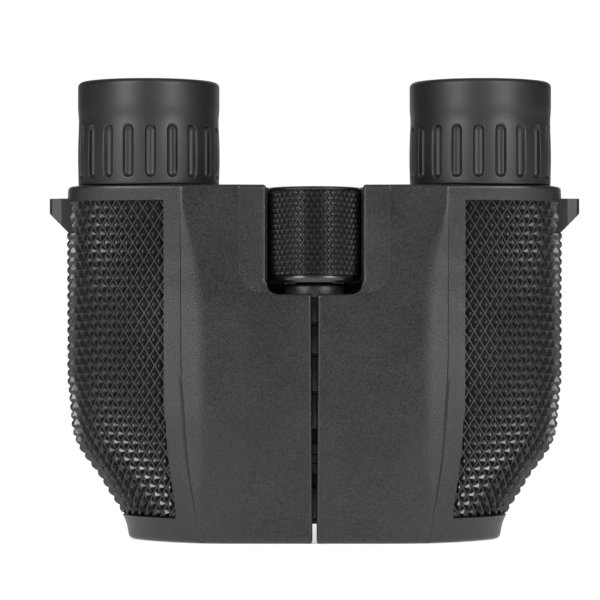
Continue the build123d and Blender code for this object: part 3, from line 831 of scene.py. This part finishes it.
def grain(nt, b, scale, strength, dist, col, vary=0.12, rough=None, rvary=0.05, coarse=None, speckle=0.0):
    """Fine surface texture: a bump of small noise cells, with colour and roughness that vary by grain and by area."""
    tc = node(nt, "ShaderNodeTexCoord")
    ns = node(nt, "ShaderNodeTexNoise", in_Scale=scale, in_Detail=2.0, in_Roughness=0.6)
    nt.links.new(tc.outputs["Object"], ns.inputs["Vector"])
    bp = node(nt, "ShaderNodeBump", in_Strength=strength, in_Distance=dist)
    nt.links.new(ns.outputs["Fac"], bp.inputs["Height"])
    nt.links.new(bp.outputs["Normal"], b.inputs["Normal"])
    big = node(nt, "ShaderNodeTexNoise", in_Scale=coarse or scale / 40, in_Detail=3.0)
    nt.links.new(tc.outputs["Object"], big.inputs["Vector"])

    def span(src, lo_, hi_, f0=0.3, f1=0.7):
        mr = node(nt, "ShaderNodeMapRange")
        nt.links.new(src, mr.inputs["Value"])
        mr.inputs["From Min"].default_value = f0
        mr.inputs["From Max"].default_value = f1
        mr.inputs["To Min"].default_value = lo_
        mr.inputs["To Max"].default_value = hi_
        return mr.outputs["Result"]

    def math(op, x, y):
        m = node(nt, "ShaderNodeMath", operation=op)
        nt.links.new(x, m.inputs[0])
        nt.links.new(y, m.inputs[1])
        return m.outputs["Value"]
    tone = math("MULTIPLY", span(big.outputs["Fac"], 1 - vary, 1 + vary), span(ns.outputs["Fac"], 1 - speckle, 1 + speckle))
    mul = node(nt, "ShaderNodeVectorMath", operation="SCALE")
    mul.inputs[0].default_value = col[:3]
    nt.links.new(tone, mul.inputs["Scale"])
    nt.links.new(mul.outputs["Vector"], b.inputs["Base Color"])
    if rough is not None:
        rs = 0.09 * speckle * rough
        r = math("ADD", span(big.outputs["Fac"], rough - rvary, rough + rvary), span(ns.outputs["Fac"], -rs, rs))
        nt.links.new(r, b.inputs["Roughness"])


def plastic(name, col, rough, scale=2600, strength=0.35, dist=0.00005, spec=0.5, vary=0.06, speckle=0.15, rvary=0.03):
    m, nt, b = shader(name, Base_Color=(*col, 1), Roughness=rough)
    b.inputs["Specular IOR Level"].default_value = spec
    grain(nt, b, scale, strength, dist, col, vary=vary, rough=rough, rvary=rvary, speckle=speckle)
    return m


def metal(name, col, rough, scale=1500, strength=0.1):
    m, nt, b = shader(name, Base_Color=(*col, 1), Roughness=rough, Metallic=1.0)
    grain(nt, b, scale, strength, 0.00002, col, vary=0.05, rough=rough, rvary=0.04)
    return m


M = {}
M["body_plastic"] = plastic("body_plastic", (0.0095, 0.0095, 0.0098), 0.37, scale=3300, strength=1.0, dist=0.000048, vary=0.14, speckle=0.95)
M["cover_plastic"] = plastic("cover_plastic", (0.0095, 0.0095, 0.0098), 0.42, scale=3300, strength=1.0, dist=0.00004, speckle=0.9)
M["lug_plastic"] = plastic("lug_plastic", (0.0095, 0.0095, 0.0098), 0.38, scale=2600, strength=0.35)
M["bezel_plastic"] = plastic("bezel_plastic", (0.009, 0.009, 0.0093), 0.38)
M["barrel_plastic"] = plastic("barrel_plastic", (0.009, 0.009, 0.0093), 0.38)
M["cup_plastic"] = plastic("cup_plastic", (0.008, 0.008, 0.0083), 0.40)
M["ring_brass"] = plastic("ring_brass", (0.012, 0.011, 0.009), 0.34, strength=0.1)
M["retainer_plastic"] = plastic("retainer_plastic", (0.008, 0.008, 0.008), 0.42)
M["cap_plastic"] = plastic("cap_plastic", (0.0095, 0.0095, 0.0098), 0.40)
M["wheel_plastic"] = plastic("wheel_plastic", (0.008, 0.008, 0.0083), 0.36)
M["grip_rubber"] = plastic("grip_rubber", (0.0032, 0.0032, 0.0034), 0.29, scale=3600, strength=0.3, dist=0.00003, spec=0.65, vary=0.12)
M["eyecup_rubber"] = plastic("eyecup_rubber", (0.0070, 0.0070, 0.0072), 0.47, scale=3200, strength=0.4, dist=0.00005, vary=0.10, speckle=0.3)
M["wheel_rubber"] = plastic("wheel_rubber", (0.0032, 0.0032, 0.0034), 0.30, scale=3600, strength=0.2, dist=0.00003, spec=0.7)
M["guide_acetal"] = plastic("guide_acetal", (0.012, 0.012, 0.012), 0.35, strength=0.1)
M["washer_acetal"] = plastic("washer_acetal", (0.016, 0.016, 0.016), 0.35, strength=0.1)
M["black_aluminium"] = metal("black_aluminium", (0.06, 0.06, 0.062), 0.42)
M["plate_aluminium"] = metal("plate_aluminium", (0.10, 0.10, 0.10), 0.40)
M["arm_aluminium"] = metal("arm_aluminium", (0.035, 0.035, 0.036), 0.42)
M["hinge_steel"] = metal("hinge_steel", (0.028, 0.028, 0.03), 0.45)
M["screw_steel"] = metal("screw_steel", (0.11, 0.11, 0.115), 0.34)
M["spring_steel"] = metal("spring_steel", (0.45, 0.45, 0.45), 0.30)
M["pin_steel"] = metal("pin_steel", (0.5, 0.5, 0.5), 0.28)
M["spindle_brass"] = metal("spindle_brass", (0.62, 0.45, 0.20), 0.28)
M["nut_brass"] = metal("nut_brass", (0.62, 0.45, 0.20), 0.30)


def glass(name, tint, coat_tint):
    m, nt, b = shader(name, Base_Color=(*tint, 1), Roughness=0.02, IOR=1.52)
    b.inputs["Transmission Weight"].default_value = 1.0
    b.inputs["Coat Weight"].default_value = 0.35
    b.inputs["Coat Roughness"].default_value = 0.03
    b.inputs["Coat Tint"].default_value = (*coat_tint, 1)
    b.inputs["Specular Tint"].default_value = (*coat_tint, 1)
    return m


M["coated_glass"] = glass("coated_glass", (0.93, 0.97, 0.95), (0.45, 0.8, 0.62))
M["prism_glass"] = glass("prism_glass", (0.95, 0.98, 0.97), (0.9, 0.9, 1.0))

SLOT_OF = {}


def slot_of(name):
    core = name.replace("left_", "").replace("right_", "")
    table = dict(housing="body_plastic", top_cover="cover_plastic", grip="grip_rubber", strap_lug="lug_plastic",
                 cover_screws="screw_steel", objective_bezel="bezel_plastic", objective_cell="black_aluminium",
                 objective_lens="coated_glass", objective_retainer="retainer_plastic", upper_prism="prism_glass",
                 lower_prism="prism_glass", prism_plate="plate_aluminium", prism_clips="spring_steel",
                 ocular_barrel="barrel_plastic", ocular_cell="black_aluminium", field_stop="black_aluminium",
                 field_lens="coated_glass", lens_spacers="black_aluminium", eye_lens="coated_glass",
                 eye_retainer="retainer_plastic", eyecup_guide="guide_acetal", eyecup_core="cup_plastic",
                 eyecup="eyecup_rubber", focus_arm="arm_aluminium")
    return table.get(core)


def paint_cad():
    for name, ob in NODES.items():
        rec = None
        for s in ob.material_slots:
            if s.material is not None and s.material.name.split(".")[0] in M:
                s.material = M[s.material.name.split(".")[0]]
                rec = True
        if rec:
            continue
        key = SLOT_NAME.get(name) or slot_of(name)
        if key is None or key not in M:
            continue
        if not ob.material_slots:
            ob.data.materials.append(M[key])
        else:
            for s in ob.material_slots:
                s.material = M[key]


SLOT_NAME = {}
for entry in frame["record"].get("nodes", []) if isinstance(frame["record"], dict) else []:
    if isinstance(entry, dict) and "name" in entry and "material_slot" in entry:
        SLOT_NAME[entry["name"]] = entry["material_slot"]
for entry in frame["record"].get("subparts", []):
    SLOT_NAME[entry["node"]] = entry["material_slot"]
paint_cad()

# ---------------------------------------------------------------- pieces
skin = Skin()
for side, s in ((-1, "left"), (1, "right")):
    cup = eyecup(f"{s}_eyecup_rubber", side, f"{s}_cup")
    cup.data.materials.append(M["eyecup_rubber"])
    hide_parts(f"{s}_eyecup")
    g = grip_mesh(f"{s}_grip_rubber", skin, side, f"{s}_barrel")
    g.data.materials.append(M["grip_rubber"])
    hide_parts(f"{s}_grip")
spans = dict(left=[(5.2, 11.8), (32.2, 39.8), (46.8, 52.9)], right=[(24.2, 31.8), (40.2, 46.4)])
for side, s in ((-1, "left"), (1, "right")):
    h = build_housing(f"{s}_housing_shell", side, f"{s}_barrel", spans[s])
    h.data.materials.append(M["body_plastic"])
    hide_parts(f"{s}_housing")
w = wheel_grip("focus_wheel_rubber", "focus_wheel")
w.data.materials.append(M["wheel_rubber"])
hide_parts("focus_wheel_grip")

for name in ("left_strap_lug", "right_strap_lug"):
    bv = NODES[name].modifiers.new("edge", "BEVEL")
    bv.width = 0.0003
    bv.segments = 3
    bv.limit_method = "ANGLE"
    bv.angle_limit = radians(35)

# ---------------------------------------------------------------- camera
cam_d = bpy.data.cameras.new("camera")
cam = bpy.data.objects.new("camera", cam_d)
bpy.context.scene.collection.objects.link(cam)
dist = 0.65
cam.location = (0.0, -dist + y_opt * MM, 0.04935)
cam.rotation_euler = (pi / 2, 0, 0)
cam_d.sensor_width = 36.0
cam_d.lens = 36.0 * dist / (600 * 0.0002173)
cam_d.shift_x = -14.5 / 600
cam_d.shift_y = 11.0 / 600
cam_d.clip_end = 20
bpy.context.scene.camera = cam


# ---------------------------------------------------------------- stage
def area(name, loc, target, size, power, size_y=None, color=(1, 1, 1)):
    ld = bpy.data.lights.new(name, "AREA")
    ld.shape = "RECTANGLE"
    ld.size = size
    ld.size_y = size_y or size
    ld.energy = power
    ld.color = color
    ob = bpy.data.objects.new(name, ld)
    bpy.context.scene.collection.objects.link(ob)
    ob.location = loc
    d = Vector(target) - Vector(loc)
    ob.rotation_euler = d.to_track_quat("-Z", "Y").to_euler()
    return ob


def sweep():
    """Pale floor running into a curved backdrop."""
    prof = [(-0.30, 0.0), (0.6, 0.0)]
    R = 0.35
    for k in range(1, 13):
        f = k / 12 * pi / 2
        prof.append((0.6 + R * sin(f), R - R * cos(f)))
    prof.append((0.6 + R, 1.6))
    verts, faces = [], []
    for x in (-0.55, 0.55):
        for y, z in prof:
            verts.append((x, y, z - 0.00015))
    n = len(prof)
    for i in range(n - 1):
        faces.append((i, i + 1, n + i + 1, n + i))
    me = bpy.data.meshes.new("sweep")
    me.from_pydata(verts, [], faces)
    for p in me.polygons:
        p.use_smooth = True
    ob = bpy.data.objects.new("sweep", me)
    bpy.context.scene.collection.objects.link(ob)
    m = bpy.data.materials.new("sweep_white")
    m.use_nodes = True
    b = m.node_tree.nodes["Principled BSDF"]
    b.inputs["Base Color"].default_value = (0.9, 0.9, 0.9, 1)
    b.inputs["Roughness"].default_value = 0.9
    b.inputs["Emission Color"].default_value = (1, 1, 1, 1)
    b.inputs["Emission Strength"].default_value = 0.56
    me.materials.append(m)
    return ob


sweep()
az = radians(38)
D = 0.55
area("softbox_left", (-D * sin(az), -D * cos(az), 0.27), (0, 0, 0.06), 0.17, 2.75, 0.32)
area("softbox_right", (D * sin(az), -D * cos(az), 0.27), (0, 0, 0.06), 0.17, 2.75, 0.32)
area("top", (0, -0.05, 0.75), (0, 0, 0.05), 0.5, 0.4, 0.4)
world_ = bpy.data.worlds.new("studio")
world_.use_nodes = True
world_.node_tree.nodes["Background"].inputs["Color"].default_value = (1, 1, 1, 1)
world_.node_tree.nodes["Background"].inputs["Strength"].default_value = 0.10
bpy.context.scene.world = world_
bpy.context.scene.view_settings.view_transform = "Standard"
bpy.context.scene.view_settings.look = "None"
bpy.context.scene.view_settings.exposure = 0.0
